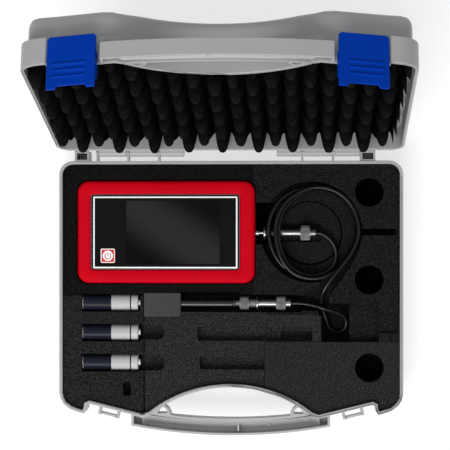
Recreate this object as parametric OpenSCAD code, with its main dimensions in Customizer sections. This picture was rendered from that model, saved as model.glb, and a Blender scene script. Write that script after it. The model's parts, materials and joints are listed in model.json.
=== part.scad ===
// Hand-held field meter kit in a two-part carrying case.
// X runs to the right, Y runs to the hinge, Z up. The origin is on the floor under the middle of the base.
// Two identical mouldings of the case meet at the rim plane. The lid stands open.

/* [Case] */
// Width of the case
case_w = 300; // [296:1:304]
// Height of the base, up to the rim plane
half_h = 39; // [38:0.5:40]
// Depth of the lid, from the rim plane
lid_h = 44; // [42:0.5:46]
// Depth of the vertical rim band
band_h = 21; // [19:0.5:22]
// Thickness of the rim
rim_t = 2.8; // [2.6:0.1:3.6]
// Height of the handle
handle_h = 13.4; // [12:0.2:16]
// Thickness of the lower walls and floor
wall_t = 2.2; // [1.8:0.1:2.4]
// How far the lid stands open, in degrees from closed
lid_angle = 104.5; // [0:0.5:104.5]

/* [Hinge] */
// Distance of the hinge axis from the middle of the case
hinge_y = 117.8; // [117.4:0.1:118.4]
// Outer radius of the hinge barrels
barrel_r = 3.4; // [3:0.1:3.6]
// Radius of the hinge pins
pin_r = 1.6; // [1.4:0.1:1.8]

/* [Latch] */
// Width of a latch
latch_w = 38.4; // [36:0.2:38.4]
// Height of a latch
latch_h = 40; // [38:0.5:40]
// Radius of the round catch bars
bar_r = 1.5; // [1.3:0.1:1.6]

/* [Foam] */
// Height of the foam's upper face over the floor
foam_top = 36; // [35.8:0.1:36.5]
// Thickness of the bottom sheet
pad_t = 6.8; // [6:0.1:7]

/* [Meter] */
// Length of the rubber boot
boot_l = 156; // [155:0.5:156.4]
// Width of the rubber boot
boot_w = 90; // [89:0.5:90.4]
// Corner radius of the boot
boot_r = 10; // [8:0.5:12]
// Thickness of the boot with the meter
boot_h = 27; // [26.5:0.1:27]

/* [Cable] */
// Diameter of the cable
cable_d = 4; // [3.6:0.1:4]

/* [Cells] */
// Diameter of a cell
cell_d = 14.5; // [14:0.1:14.5]
// Length of a cell with its nub
cell_l = 50.5; // [49:0.1:50.5]

/* [Hidden] */
$fn = 64;
e = 0.01;
hw = case_w / 2;
back_y = 110.7;
latch_a = 14;                        // slant of the front wall under a latch
latch_p = [-105.85, -106.03];        // middle of a latch on the front wall's outer face
bar_y = -5.6;                        // catch bar, out from the front wall
bar_dz = 9;                          // catch bar, away from the rim plane
arch_c = -200.7;
arch_r = 114;
// meter placement
mx = -56.5; my = 48.7; mz = 10;
plug_z = 27; plug_y = 48;
probe_z = 28; probe_y = -13.7;
cells_y = [-13.4, -39.5, -65.8];
cell_x = -130; cell_z = 28;

// ---------- plane outlines ----------
function unit(v) = v / norm(v);
// moves every edge of a counter-clockwise outline inwards by d
function inset(p, d) = [for (i = [0:len(p) - 1])
    let (a = p[(i + len(p) - 1) % len(p)], b = p[i], c = p[(i + 1) % len(p)],
         u = unit(b - a), v = unit(c - b), m = [-u[1], u[0]], n = [-v[1], v[0]])
    b + (m + n) * (d / (1 + m * n))];
function flip(p) = [for (i = [len(p) - 1:-1:0]) [-p[i][0], p[i][1]]];
function arc(cx, cy, r, a0, a1, n) = [for (i = [0:n]) let (a = a0 + (a1 - a0) * i / n) [cx + r * cos(a), cy + r * sin(a)]];
// left half of the rim outline, from the back corner round to the middle of the hand opening
rim_left = concat(arc(12 - hw, back_y - 12, 12, 90, 180, 8),
    [[-hw, -92], [1.1 - hw, -97], [3.9 - hw, -102], [9.5 - hw, -106.3], [15 - hw, -108.4],
     [-128.6, -110.3], [-126.2, -107], [-125.4, -102.6], [-123.4, -101.66], [-76.5, -113.3], [-70, -110.9]],
    [for (i = [0:9]) let (a = 122.9 - 32.9 * i / 10) [arch_r * cos(a), arch_c + arch_r * sin(a)]]);
rim_line = concat(rim_left, [[0, arch_c + arch_r]], flip(rim_left));
// left half of the outline of the rounded lower body
body_left = concat(arc(16 - hw, back_y - 16, 12, 90, 180, 8),
    [[4 - hw, -86], [6 - hw, -91], [11.5 - hw, -94.8], [-126, -97.2], [-88, -106.6], [-79, -106], [-71, -101.6]],
    [for (i = [1:7]) let (a = 123.5 - 33.5 * i / 8) [119.4 * cos(a), arch_c + 119.4 * sin(a)]]);
body_line = concat(body_left, [[0, arch_c + 119.4]], flip(body_left));

// lower body: layers that step in towards the floor at height zf
module body_block(zf) {
    for (l = [[0, 0.8, 4.6], [0.8, 1.4, 2.8], [2.2, 2.2, 1.5], [4.4, 3.6, 0.5], [8, half_h - zf - band_h - 7, 0]])
        translate([0, 0, zf + l[0]]) linear_extrude(l[1]) polygon(inset(body_line, l[2] + 0.001));
}
// space inside the lower body between two heights, g smaller all round
module body_space(z0, z1, g, zf = 0) {
    for (l = [[wall_t, 4.6, 2.2], [4.6, 8, 0.5], [8, half_h - zf + 1, 0]]) let (a = max(z0, zf + l[0]), b = min(z1, zf + l[1])) if (b > a)
        translate([0, 0, a]) linear_extrude(b - a) polygon(inset(body_line, wall_t + l[2] + g));
}
module rbox(x, y, z, r, h) { // box with round corners, centred on x and y, standing on z = 0
    translate([0, 0, z]) linear_extrude(h) round_rect(x, y, r);
}
module round_rect(x, y, r) {
    square([x - 2 * r, y], center = true);
    square([x, y - 2 * r], center = true);
    for (i = [-1, 1]) for (j = [-1, 1]) translate([i * (x / 2 - r), j * (y / 2 - r)]) circle(r = r);
}
module block(x0, x1, y0, y1, z0, z1) { translate([x0, y0, z0]) cube([x1 - x0, y1 - y0, z1 - z0]); }
module slot_round(x0, x1, y0, y1, z0, z1, r) { translate([(x0 + x1) / 2, (y0 + y1) / 2, 0]) rbox(x1 - x0, y1 - y0, z0, r, z1 - z0); }
module rod(x0, x1, y, z, r) { translate([x0, y, z]) rotate([0, 90, 0]) cylinder(r = r, h = x1 - x0); }

// ---------- case half, rim up ----------
module handle_area(inner_r, inner_c, outer_r, outer_c, half) {
    intersection() {
        difference() {
            translate([0, outer_c]) circle(r = outer_r, $fn = 240);
            translate([0, inner_c]) circle(r = inner_r, $fn = 240);
        }
        translate([-half, -140]) square([2 * half, 40]);
    }
}
module catch_loop() { // frame of one catch loop in the latch's own axes
    for (s = [-1, 1]) translate([s * 8.2 - 1.3, -7.1, half_h - bar_dz - 2.5]) cube([2.6, 7.9, 5]);
    translate([-9.5, bar_y, half_h - bar_dz]) rotate([0, 90, 0]) cylinder(r = bar_r, h = 19);
}
module at_latch() { translate([latch_p[0], latch_p[1], 0]) rotate([0, 0, -latch_a]) children(); }
module both() { children(); mirror([1, 0, 0]) children(); }
module half_case(zf) {
    zh = half_h - handle_h;
    difference() {
        union() {
            translate([0, 0, half_h - band_h]) linear_extrude(band_h) polygon(rim_line);
            body_block(zf);
            translate([0, 0, zh]) linear_extrude(handle_h) handle_area(492.5, 379, 475.3, 346.8, 86.7);
            both() translate([0, 0, zh]) linear_extrude(handle_h)
                polygon([[-72, -113], [-70, -108], [-61.6, -102.2], [-57.6, -102.2], [-54.2, -104.9], [-52.2, -109], [-51.8, -112]]);
        }
        // inside of the band and of the body
        translate([0, 0, half_h - band_h + wall_t]) linear_extrude(band_h) polygon(inset(rim_line, rim_t));
        body_space(zf + wall_t, half_h + 1, 0, zf);
        // open trough of the handle, below a narrow step along its inner edge
        translate([0, 0, half_h - 11]) linear_extrude(band_h) difference() {
            handle_area(385.3, 268.4, 473.1, 346.8, 84.4);
            offset(delta = 0.4) polygon(rim_line);
        }
        translate([0, 0, half_h - 2]) linear_extrude(band_h) difference() {
            handle_area(492.5, 376.7, 473.1, 346.8, 78);
            offset(delta = 0.4) polygon(rim_line);
        }
        // opening in the web beside the hand opening
        both() translate([0, 0, -1]) linear_extrude(half_h + 2)
            polygon([[-63.4, -109.2], [-55.8, -109], [-55.3, -107.6], [-57, -104.9], [-59.2, -104.1], [-61.4, -105.4]]);
        // groove of the rim, on the right half only
        translate([0, 0, half_h - 1.2]) linear_extrude(3) intersection() {
            difference() { polygon(inset(rim_line, 1)); polygon(inset(rim_line, 1.9)); }
            translate([1, -120]) square([160, 218]);
        }
    }
    // cross rib and small bosses in the trough of the handle
    translate([6, -125, half_h - 11.5]) cube([1.6, 9, 9]);
    for (p = [[-32, -118.4], [33.6, -118.9], [66.8, -114.8]]) translate([p[0], p[1], half_h - 11.5]) cylinder(r = 0.9, h = 7);
    both() at_latch() catch_loop();
}
module stop_box(y1, x0, x1) { // hollow box behind the back wall
    difference() {
        block(x0, x1, back_y - 0.5, y1, 20, half_h - 0.5);
        block(x0 + 1.8, x1 - 1.8, back_y - 0.5 + 1.8, y1 - 1.6, 21.8, half_h);
    }
}
ears = [-116.3, -89.3, -62.4, 62.4, 89.3];
module base_shell() color([0.68, 0.69, 0.70]) difference() {
    union() {
        half_case(0);
        stop_box(hinge_y + 1.4, -136.3, -123.7);
        stop_box(hinge_y + 1.4, 112.9, 125.9);
        for (x = ears) translate([x - 1, 0, 0]) {
            translate([0, hinge_y, half_h]) rotate([0, 90, 0]) cylinder(r = barrel_r, h = 2);
            translate([0, back_y - 0.5, half_h - 9]) cube([2, hinge_y - back_y + 0.5, 9]);
        }
    }
    rod(-118, -50, hinge_y, half_h, pin_r + 0.03);
    rod(50, 100, hinge_y, half_h, pin_r + 0.03);
}
module hinge_pin_left() color([0.6, 0.6, 0.62]) rod(-117.6, -40.6, hinge_y, half_h, pin_r);
module hinge_pin_right() color([0.6, 0.6, 0.62]) rod(40.6, 112.6, hinge_y, half_h, pin_r);
module open_lid() {
    translate([0, hinge_y, half_h]) rotate([-lid_angle, 0, 0]) translate([0, -hinge_y, -half_h])
        translate([0, 0, 2 * half_h]) rotate([0, 180, 0]) children();
}
// barrels in the turned lid's own axes, so left and right change places
barrels = [[-112.3, -90.6], [-88, -63.7], [-61.1, -40.2], [40.2, 61.1], [63.7, 88], [90.6, 115]];
module lid_shell() color([0.68, 0.69, 0.70]) open_lid() difference() {
    union() {
        half_case(half_h - lid_h);
        stop_box(hinge_y - 0.2, -125.9, -112.9);
        stop_box(hinge_y - 0.2, 123.7, 136.3);
        for (b = barrels) {
            rod(b[0], b[1], hinge_y, half_h, barrel_r);
            block(b[0], b[1], back_y - 0.5, hinge_y, half_h - barrel_r, half_h - 0.5);
        }
    }
    rod(-112.8, -37, hinge_y, half_h, pin_r + 0.08);
    rod(37, 118, hinge_y, half_h, pin_r + 0.08);
    // the rims meet with a hair of clearance
    block(-160, 160, -140, 110, half_h - 0.06, half_h + 1);
}
module lid_foam() color([0.07, 0.07, 0.07]) open_lid() {
    translate([0, 0, half_h - band_h + wall_t]) linear_extrude(band_h - wall_t - 4) polygon(inset(rim_line, rim_t + 0.1));
    body_space(half_h - lid_h + wall_t + 0.2, half_h - band_h + wall_t + 1, 0.1, half_h - lid_h);
}

// ---------- latch, in the closed case's axes: hangs on the lid's bar at z = half_h + bar_dz ----------
module latch_solid() {
    zp = half_h + bar_dz;
    zs = half_h - bar_dz;
    z0 = half_h - latch_h / 2;
    difference() {
        union() {
            w = latch_w / 2;
            translate([0, -8.6, 0]) rotate([90, 0, 0]) linear_extrude(2.4)
                polygon([[-w, z0 - 1.2], [7 - w, z0 - 1.2], [8.2 - w, z0 + 1.2], [w - 8, z0 + 1.2], [w - 6.8, z0 - 1.2], [w, z0 - 1.2],
                    [w, z0 + latch_h - 1.8], [w - 1.8, z0 + latch_h], [1.8 - w, z0 + latch_h], [-w, z0 + latch_h - 1.8]]);
            for (s = [-1, 1]) translate([s * (w - 0.9) - 0.9, -10, z0 + 6]) cube([1.8, 5, 20]);
            for (z = [z0 + 7.5, z0 + 12.4, z0 + 17.2]) translate([-15.2, -11.8, z]) cube([26.4, 1, 1.8]);
            // eye round the lid's bar
            translate([-6.3, bar_y, zp]) rotate([0, 90, 0]) cylinder(r = 3, h = 12.6);
            translate([-6.3, -9, zp - 3]) cube([12.6, 3.4, 6]);
            // open cup for the base's bar
            translate([-6.3, -9, zs - 3]) cube([12.6, 9 + bar_y, 6]);
        }
        translate([-7, bar_y, zp]) rotate([0, 90, 0]) cylinder(r = bar_r + 0.08, h = 14);
        translate([-7, bar_y, zs]) rotate([0, 90, 0]) cylinder(r = bar_r + 0.3, h = 14);
    }
}
module on_lid() translate([0, hinge_y, half_h]) rotate([-lid_angle, 0, 0]) translate([0, -hinge_y, -half_h]) children();
module latch_left() color([0, 0.2, 0.6]) on_lid() at_latch() latch_solid();
module latch_right() color([0, 0.2, 0.6]) on_lid() mirror([1, 0, 0]) at_latch() latch_solid();

// ---------- foam in the base ----------
module foam_pad() color([0.14, 0.14, 0.15])
    body_space(wall_t, wall_t + pad_t, 0);
ring_x = 70.4; ring_y = 48.7; ring_r = 44.2;
// one block of the cut foam: the blank inside the given limits, without the pockets
module foam_block(x0, x1, y0, y1) color([0.14, 0.14, 0.15]) difference() {
    intersection() {
        union() {
            translate([0, 0, half_h - band_h + wall_t]) linear_extrude(foam_top - half_h + band_h - wall_t) polygon(inset(rim_line, rim_t));
            body_space(wall_t + pad_t, foam_top, 0);
        }
        union() block(x0, x1, y0, y1, 0, 60);
    }
    pockets();
}
module pockets() {
    t = foam_top + 1;
    // meter, with the channel of its jack
    translate([mx, my, 0]) rbox(boot_l + 1.2, boot_w + 1.2, mz - 0.2, boot_r, t);
    slot_round(15, 39, 38, 74.5, mz - 0.2, t, 2);
    // round pocket for the coiled cable
    translate([ring_x, ring_y, 22]) cylinder(r = ring_r, h = t, $fn = 48);
    // plug trough
    slot_round(24, 79, 40, 56, 19.6, t, 1.5);
    // way from the ring to the probe trough
    translate([0, 0, 21.6]) linear_extrude(t) polygon([[112, 41.9], [104.7, 18.6], [92, 1.1], [86, -8], [86, -25], [77, -25], [76, -20], [60, -20], [61.1, -7.6], [78.6, 4.1], [66, 16]]);
    // probe head, rod and plug
    slot_round(-76.6, -43.2, -25.9, -4.1, 19.6, t, 1.2);
    slot_round(-50, 8, -21.3, -3.7, 20.5, t, 1.5);
    slot_round(4.2, 62, -21.4, -6, 20, t, 1.5);
    // deep recess with its shallow step, and the shallow end
    block(79, 103.6, -47.2, -13.5, 17, t);
    block(79, 129, -47.2, -13.5, 27, t);
    slot_round(126, 145, -39.2, -21.8, 33, t, 2);
    // the blocks differ a little in height
    block(-160, 19.8, -7, 130, foam_top - 0.9, t);
    block(-76.3, 30, -130, -23.5, foam_top - 1.6, t);
    block(29.9, 79, -47.2, -23.5, foam_top - 1.6, t);
    block(-76.3, -75, -130, -23.5, foam_top - 5, t);
    block(30, 160, -130, -47.2, foam_top - 0.7, t);
    block(29.4, 30, -130, -47.2, foam_top - 3, t);
    // two more troughs
    slot_round(-28.9, 71.4, -46.4, -34.2, 26.5, t, 2.2);
    slot_round(44, 71.4, -46.4, -38, 22, t, 2.2);
    slot_round(-27.1, 29.8, -71.4, -60, 26.5, t, 2);
    // finger holes
    for (p = [[120.9, 83.3], [120.7, 7], [120.8, -69.6]]) translate([p[0], p[1], 12]) cylinder(r = 12.6, h = t, $fn = 32);
    slot_round(108, 144, 45.8, 51.6, 20, t, 1);
    // spare cells
    for (y = cells_y) slot_round(-130.7, -79, y - 7.75, y + 7.75, 20.2, t, 1.5);
    slot_round(-84, -58.5, -45.4, -32, 24, t, 5);
    slot_round(-84, -58.5, -72.6, -58.6, 24, t, 5);
    slot_round(-94.1, -87.2, -94.8, -82.3, 24, t, 2);
}
module foam_meter() foam_block(-160, 19.8, -7, 130);
module foam_front() {
    foam_block(-76.3, 30, -130, -7);
    foam_block(29, 79, -47.2, -23.5);
}
module foam_corner() foam_block(30, 160, -130, -47.2);
module foam_coil() {
    difference() {
        foam_block(19.8, 160, -23.5, 48.7);
        block(10, 30, -60, -7, 0, 60);
        block(79, 170, -60, -13.5, 0, 60);
    }
}
module foam_recess() foam_block(79, 160, -47.2, -13.5);
module foam_rear() foam_block(19.8, 160, 48.7, 130);
module foam_cells() foam_block(-160, -76.3, -130, -7);

// ---------- meter ----------
module holster() color([0.78, 0.05, 0.1]) translate([mx, my, mz]) difference() {
    union() {
        rbox(boot_l - 1.6, boot_w - 1.6, 0, boot_r - 0.8, boot_h);
        rbox(boot_l, boot_w, 1.5, boot_r, boot_h - 3.6);
    }
    rbox(149, 83, 2.5, 7, 22);
    translate([-0.8, 0, 0]) rbox(130.6, 65.9, 20, 3, 10);
    rbox(126, 60, -1, 4, 5);
    translate([70, plug_y - my, plug_z - mz]) rotate([0, 90, 0]) cylinder(r = 4.2, h = 12);
}
module screw_posts(r, z0, z1) for (i = [-1, 1]) for (j = [-1, 1]) translate([mx + i * 67, my + j * 34.5, z0]) cylinder(r = r, h = z1 - z0);
module front_case() color([0.05, 0.05, 0.05]) difference() {
    union() {
        difference() {
            union() {
                translate([mx, my, 0]) rbox(148.6, 82.6, 24, 6.8, 10.2);
                translate([mx - 0.8, my, 0]) rbox(130.2, 65.5, 34, 2.8, 1.4);
            }
            translate([mx, my, 0]) rbox(144.6, 78.6, 23.9, 4.8, 8.2);
            // window for the display and hole for the key
            block(-90.4, -10.4, 21.7, 75.1, 30, 40);
            translate([-107.5, 27.9, 0]) rbox(11.6, 11.6, 30, 1.5, 10);
            rod(10, 30, plug_y, plug_z, 2.6);
        }
        screw_posts(3.6, 28.2, 32.4);
    }
    screw_posts(1.45, 25, 31);
}
module rear_case() color([0.06, 0.06, 0.06]) difference() {
    union() {
        difference() {
            translate([mx, my, 0]) rbox(148.6, 82.6, 12.7, 6.8, 11.3);
            translate([mx, my, 0]) rbox(144.6, 78.6, 14.7, 4.8, 12);
            block(-105, -45, 28.7, 68.7, 12, 16);
        }
        difference() {
            screw_posts(4.2, 14, 24.5);
        }
        // ledge under the board
        for (s = [-1, 1]) translate([mx, my + s * 37.8, 0]) block(-40, 40, -1.2, 1.2, 14, 25.8);
    }
    screw_posts(1.7, 12, 25);
    screw_posts(3, 12, 15.2);
}
module battery_door() color([0.08, 0.08, 0.08]) {
    block(-104.8, -45.2, 28.9, 68.5, 12.7, 14.7);
    for (x = [-98, -86, -74, -62, -52]) block(x, x + 4, 34, 63, 14.6, 15.3);
}
module case_screws() color([0.5, 0.5, 0.52]) {
    screw_posts(1.45, 14, 30);
    screw_posts(2.8, 13.2, 15.1);
}
module overlay_panel() color([0.02, 0.02, 0.02]) difference() {
    translate([mx - 0.8, my, 0]) rbox(130.2, 65.5, 35.4, 2.8, 0.8);
    block(-91.4, -9.4, 20.7, 76.1, 35, 37);
    translate([-107.5, 27.9, 0]) rbox(13.3, 13.3, 35, 1.6, 2);
}
module display_window() color([0.15, 0.16, 0.18, 0.6]) block(-91.3, -9.5, 20.8, 76, 35.4, 36.3);
module display_module() color([0.2, 0.22, 0.24]) block(-90.2, -10.6, 21.9, 74.9, 31, 35.2);
module circuit_board() color([0.05, 0.3, 0.12]) difference() {
    union() {
        translate([mx, my, 0]) rbox(140, 74, 26, 3, 1.6);
        for (p = [[-30, 30, 14, 14, 1.8], [-20, 60, 10, 8, 2.2], [-60, 50, 16, 10, 1.6], [-5, 22, 8, 6, 3], [-80, 66, 8, 6, 2]])
            translate([p[0], p[1], 27.5]) cube([p[2], p[3], p[4]]);
    }
    screw_posts(4.6, 25, 29);
}
module key_switch() color([0.2, 0.2, 0.2]) {
    block(-110.5, -104.5, 24.9, 30.9, 27.6, 30.4);
    translate([-107.5, 27.9, 30.4]) cylinder(r = 1.7, h = 0.6);
}
module contact_springs() color([0.7, 0.7, 0.65])
    for (y = [34, 48.7, 63.4]) for (x = [-103, -47.5]) {
        block(x, x + 0.5, y - 4, y + 4, 16.5, 25.9);
        translate([x < -80 ? x + 0.5 : x, y, 20.5]) rotate([0, x < -80 ? 90 : -90, 0]) cylinder(r1 = 3, r2 = 1.8, h = 3.5);
    }
module power_key() color([0.75, 0.08, 0.1]) {
    translate([-107.5, 27.9, 0]) rbox(12.7, 12.7, 36.1, 1.4, 0.9);
    translate([-107.5, 27.9, 0]) rbox(11, 11, 31.7, 1.2, 4.6);
}
// turned ring with a milled edge
module milled(x0, x1, y, z, r, n) difference() {
    rod(x0, x1, y, z, r);
    for (i = [0:n - 1]) translate([x0 + 0.8, y, z]) rotate([360 * i / n, 0, 0]) translate([0, r, 0]) rotate([45, 0, 0]) translate([0, -0.25, -0.25]) cube([x1 - x0 - 1.6, 0.5, 0.5]);
}
module input_jack() color([0.75, 0.75, 0.76]) {
    rod(17.85, 19.4, plug_y, plug_z, 4);
    rod(14, 15.7, plug_y, plug_z, 3.6);
    rod(13.6, 24.4, plug_y, plug_z, 2.5);
    rod(21.7, 24.6, plug_y, plug_z, 2.9);
    rod(24.2, 28.9, plug_y, plug_z, 1.6);
    rod(28.7, 30.3, plug_y, plug_z, 5.6);
}
module plug_insulator() color([0.04, 0.04, 0.04]) { rod(30.3, 42.8, plug_y, plug_z, 3.5); rod(33, 40.6, plug_y, plug_z, 3.7); }
module plug_body() color([0.78, 0.78, 0.79]) {
    rod(42.8, 43.9, plug_y, plug_z, 4.6);
    translate([43.8, plug_y, plug_z]) rotate([0, 90, 0]) cylinder(r1 = 3.9, r2 = 3.2, h = 2.4);
    rod(46, 61, plug_y, plug_z, 3.2);
}
module plug_nut() color([0.7, 0.7, 0.71]) milled(61, 69.3, plug_y, plug_z, 6.6, 40);
module plug_sleeve() color([0.78, 0.78, 0.79]) { rod(69.3, 74.2, plug_y, plug_z, 3.5); for (x = [70.6, 72, 73.4]) rod(x - 0.3, x + 0.3, plug_y, plug_z, 3.8); }

// ---------- cable: centre line, given by hand in round figures ----------
route = [[74.2, 48, 27], [79, 47.2, 27], [85, 43.6, 26.8], [90.2, 37, 26.2], [92.2, 28.6, 25.4], [90, 19.8, 24.6], [82, 13, 24.4], [69.4, 10.4, 24.4],
    [55, 15.6, 26.6], [45.6, 28.6, 30.6], [41.8, 48.5, 33.8], [45.8, 66, 32], [57, 79, 29.4], [74.6, 87, 27], [93, 82, 25.8], [106, 67.4, 25],
    [110.4, 49, 25], [105.4, 31, 25.8], [94, 17.4, 27.6], [82, 10.4, 28.8], [68.6, 8.6, 29.2], [53, 13.4, 30], [39, 27.6, 32.2], [33, 50, 33.4],
    [38.4, 69.6, 33.4], [50.4, 82, 32.6], [70.6, 87.9, 31.8], [92.2, 83.3, 31], [106.2, 69, 30.2], [111.2, 49.6, 30], [106, 30.6, 30.6], [94.6, 17, 32],
    [82.4, 9.8, 33], [68.6, 8.2, 33.6], [54.2, 13.2, 34.8], [43.6, 26.8, 36.4], [39.2, 48.7, 36.6], [43.2, 66.4, 36.6], [54.6, 80, 36.2], [74, 87.6, 35.8],
    [93.6, 83, 35.4], [107, 68.6, 35.2], [111.6, 49, 35.6], [106.4, 32.6, 36.2], [97.6, 20, 36.8], [88.4, 8.6, 36.8], [82, -1, 34.8], [79.4, -8, 30.8],
    [79.4, -14.4, 26.4], [80.8, -20.6, 23.2], [83.2, -27.2, 20.8], [85.2, -33.2, 19.8], [88.8, -37.6, 19.4], [93.6, -39.4, 19.2],
    [98.2, -37.6, 19.6], [100.9, -33.4, 20.8], [100.5, -28.3, 22.6], [96.8, -24.3, 25], [90.2, -21.3, 27.4], [79.8, -17.9, 29.6], [68.6, -14.8, 29.6], [60, -13.8, 28.4], [52.5, -13.7, 28]];
// smooth curve through the centre points
function cr(a, b, c, d, t) = 0.5 * (2 * b + (c - a) * t + (2 * a - 5 * b + 4 * c - d) * t * t + (3 * b - a - 3 * c + d) * t * t * t);
nr = len(route);
cable_line = concat([for (i = [0:nr - 2]) for (t = [0, 0.5])
    cr(i == 0 ? 2 * route[0] - route[1] : route[i - 1], route[i], route[i + 1], i == nr - 2 ? 2 * route[nr - 1] - route[nr - 2] : route[i + 2], t)],
    [route[nr - 1]]);
module tube(p, r, m) {
    n = len(p);
    tan = [for (i = [0:n - 1]) i == 0 ? [1, 0, 0] : i == n - 1 ? [-1, 0, 0] : unit(p[i + 1] - p[i - 1])];
    side = [for (v = tan) unit(cross([0, 0, 1], v))];
    pts = [for (i = [0:n - 1]) for (j = [0:m - 1]) let (a = 360 * j / m, w = cross(tan[i], side[i])) p[i] + r * (cos(a) * side[i] + sin(a) * w)];
    polyhedron(points = pts, faces = concat([[for (j = [m - 1:-1:0]) j]], [[for (j = [0:m - 1]) (n - 1) * m + j]],
        [for (i = [0:n - 2]) for (j = [0:m - 1]) [i * m + j, i * m + (j + 1) % m, (i + 1) * m + (j + 1) % m]],
        [for (i = [0:n - 2]) for (j = [0:m - 1]) [i * m + j, (i + 1) * m + (j + 1) % m, (i + 1) * m + j]]));
}
module cable() color([0.03, 0.03, 0.03]) tube([for (i = [0:len(cable_line) - 1]) if (i % 2 == 0 || i < 12 || i > 90) cable_line[i]], cable_d / 2, 8);

// ---------- probe ----------
module probe_sleeve() color([0.78, 0.78, 0.79]) rod(48, 52.5, probe_y, probe_z, 4);
module probe_nut() color([0.7, 0.7, 0.71]) milled(39.7, 48, probe_y, probe_z, 6.2, 38);
module probe_plug_body() color([0.78, 0.78, 0.79]) { rod(24, 39.7, probe_y, probe_z, 3.6); rod(22.3, 24, probe_y, probe_z, 5.9); }
module probe_jack() color([0.74, 0.74, 0.75]) { rod(15.8, 22.3, probe_y, probe_z, 3.6); milled(7.9, 15.8, probe_y, probe_z, 5.9, 36); rod(4.4, 7.9, probe_y, probe_z, 2.4); }
module probe_collar() color([0.1, 0.1, 0.1]) rod(1.4, 4.4, probe_y, probe_z, 3.4);
module probe_tube() color([0.05, 0.05, 0.05]) difference() { rod(-46, 1.4, probe_y, probe_z, 4.6); rod(-47, -1, probe_y, probe_z, 3.2); }
module probe_head() color([0.3, 0.3, 0.31]) difference() {
    slot_round(-76, -43.7, -25.5, -4.5, 20, 33, 1);
    slot_round(-74, -47.9, -23.5, -6.5, 22, 34, 0.6);
    rod(-48.5, -40, probe_y, probe_z, 4.65);
}
module probe_head_cover() color([0.3, 0.3, 0.31]) difference() {
    union() { slot_round(-76, -43.7, -25.5, -4.5, 33, 35.6, 1); slot_round(-73.9, -48, -23.4, -6.6, 32, 33.5, 0.6); }
    slot_round(-72, -50, -21.5, -8.5, 31, 34, 0.6);
}
module sensor_board() color([0.05, 0.3, 0.12]) block(-73.5, -48.5, -23, -7, 24, 25.2);
module sensor_element() color([0.1, 0.1, 0.1]) { block(-70, -64, -18, -12, 25.2, 28.2); block(-60, -57, -20, -10, 25.2, 26.6); }

// ---------- spare cells ----------
module cell_can(n) {
    rod(cell_x, cell_x + cell_l - 2, cells_y[n], cell_z, cell_d / 2 - 0.2);
    rod(cell_x + cell_l - 2.2, cell_x + cell_l, cells_y[n], cell_z, 2.7);
}
module cell_wrap(n) difference() {
    rod(cell_x + 0.4, cell_x + cell_l - 2.2, cells_y[n], cell_z, cell_d / 2);
    rod(cell_x - 1, cell_x + cell_l, cells_y[n], cell_z, cell_d / 2 - 0.2);
}
module cell_can_1() color([0.75, 0.75, 0.78]) cell_can(0);
module cell_can_2() color([0.75, 0.75, 0.78]) cell_can(1);
module cell_can_3() color([0.75, 0.75, 0.78]) cell_can(2);
module cell_wrap_1() color([0.1, 0.12, 0.2]) cell_wrap(0);
module cell_wrap_2() color([0.1, 0.12, 0.2]) cell_wrap(1);
module cell_wrap_3() color([0.1, 0.12, 0.2]) cell_wrap(2);

base_shell();
hinge_pin_left();
hinge_pin_right();
foam_pad();
foam_meter();
foam_front();
foam_corner();
foam_coil();
foam_recess();
foam_rear();
foam_cells();
lid_shell();
lid_foam();
latch_left();
latch_right();
holster();
front_case();
rear_case();
overlay_panel();
display_window();
display_module();
circuit_board();
key_switch();
contact_springs();
battery_door();
case_screws();
power_key();
input_jack();
plug_insulator();
plug_body();
plug_nut();
plug_sleeve();
cable();
probe_sleeve();
probe_nut();
probe_plug_body();
probe_jack();
probe_collar();
probe_tube();
probe_head();
probe_head_cover();
sensor_board();
sensor_element();
cell_can_1();
cell_can_2();
cell_can_3();
cell_wrap_1();
cell_wrap_2();
cell_wrap_3();
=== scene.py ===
"""Looks of the field meter kit: an open carrying case with a meter, a cabled probe and spare cells in cut foam."""
import json
import math

import bmesh
import bpy
import numpy as np
from mathutils import Matrix, Vector, geometry, noise

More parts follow.
